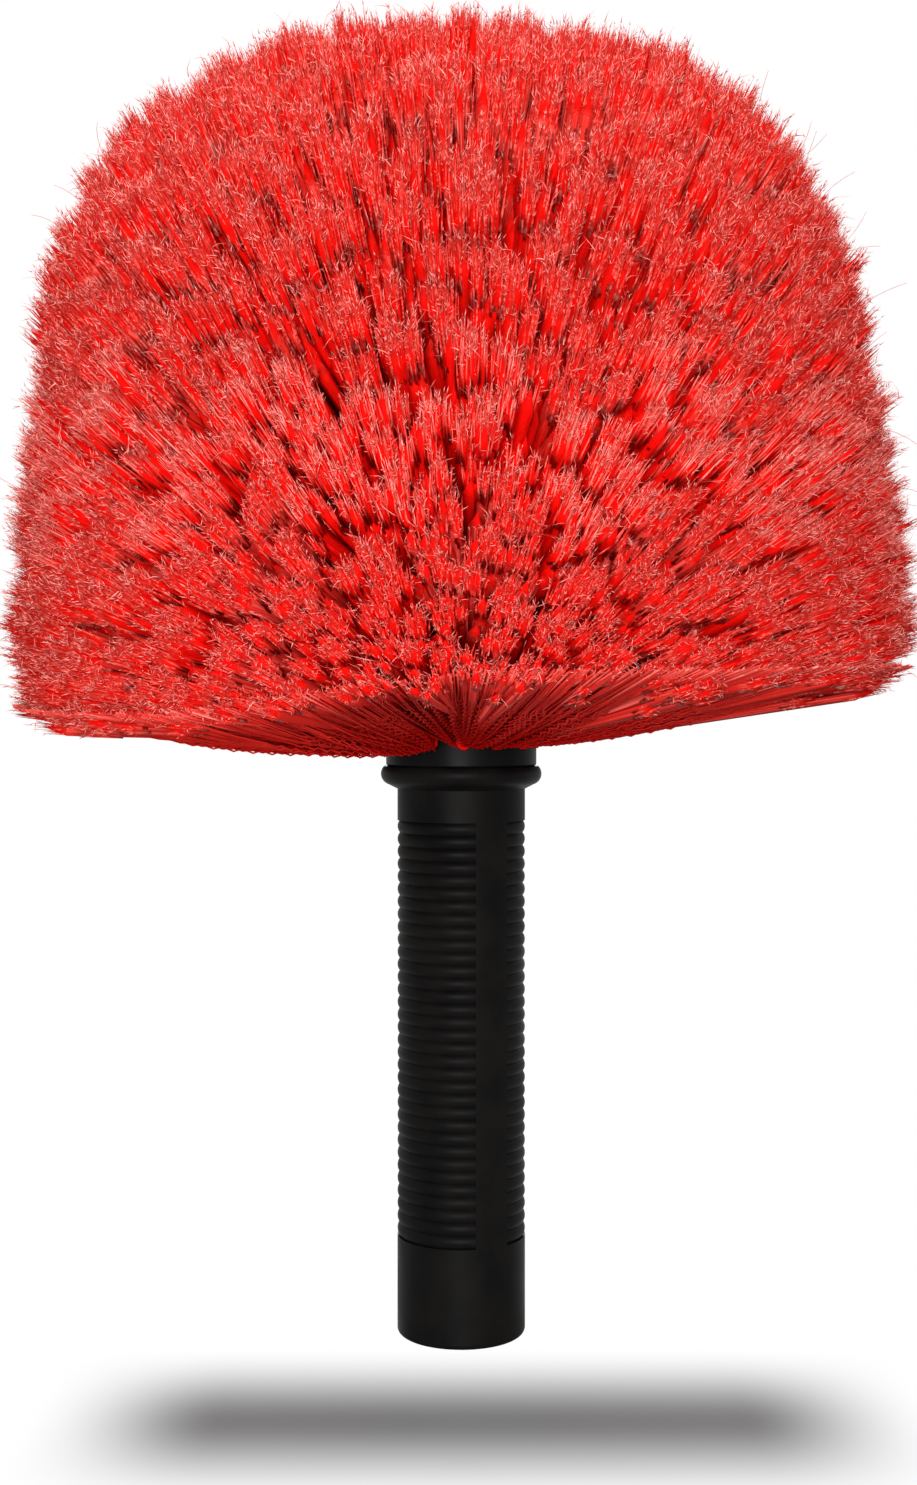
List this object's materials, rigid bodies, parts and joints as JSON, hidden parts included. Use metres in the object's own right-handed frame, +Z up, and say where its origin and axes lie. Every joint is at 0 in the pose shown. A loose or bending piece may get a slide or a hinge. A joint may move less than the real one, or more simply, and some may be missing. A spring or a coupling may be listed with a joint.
{
  "type": "cobweb brush",
  "caption": "Round-headed cobweb brush: a dome of soft red bristles set in a black core, on a ribbed plastic grip tube with a threaded pole socket.",
  "frame": {"origin": "centre of the pole socket's mouth, at the lower end of the grip tube", "axes": "+Z up the brush's axis, from the pole socket to the crown of the bristles; -Y faces the picture's camera"},
  "size_m": [0.1952, 0.1952, 0.2822],
  "materials": {
    "grip_plastic": "satin",
    "insert_plastic": "satin",
    "block_plastic": "satin",
    "bristle": "satin",
    "screw_steel": "satin",
    "anchor_wire": "satin"
  },
  "bodies": {
    "root": {"grip_tube": "grip_plastic", "pole_thread_insert": "insert_plastic", "fixing_screw": "screw_steel", "screw_washer": "screw_steel", "brush_block": "block_plastic", "tuft_ring_01": "bristle", "tuft_ring_02": "bristle", "tuft_ring_03": "bristle", "tuft_ring_04": "bristle", "tuft_ring_05": "bristle", "tuft_ring_06": "bristle", "tuft_ring_07": "bristle", "tuft_ring_08": "bristle", "tuft_ring_09": "bristle", "tuft_ring_10": "bristle", "tuft_ring_11": "bristle", "tuft_ring_12": "bristle", "anchor_ring_01": "anchor_wire", "anchor_ring_02": "anchor_wire", "anchor_ring_03": "anchor_wire", "anchor_ring_04": "anchor_wire", "anchor_ring_05": "anchor_wire", "anchor_ring_06": "anchor_wire", "anchor_ring_07": "anchor_wire", "anchor_ring_08": "anchor_wire", "anchor_ring_09": "anchor_wire", "anchor_ring_10": "anchor_wire", "anchor_ring_11": "anchor_wire", "anchor_ring_12": "anchor_wire"}
  },
  "joints": []
}
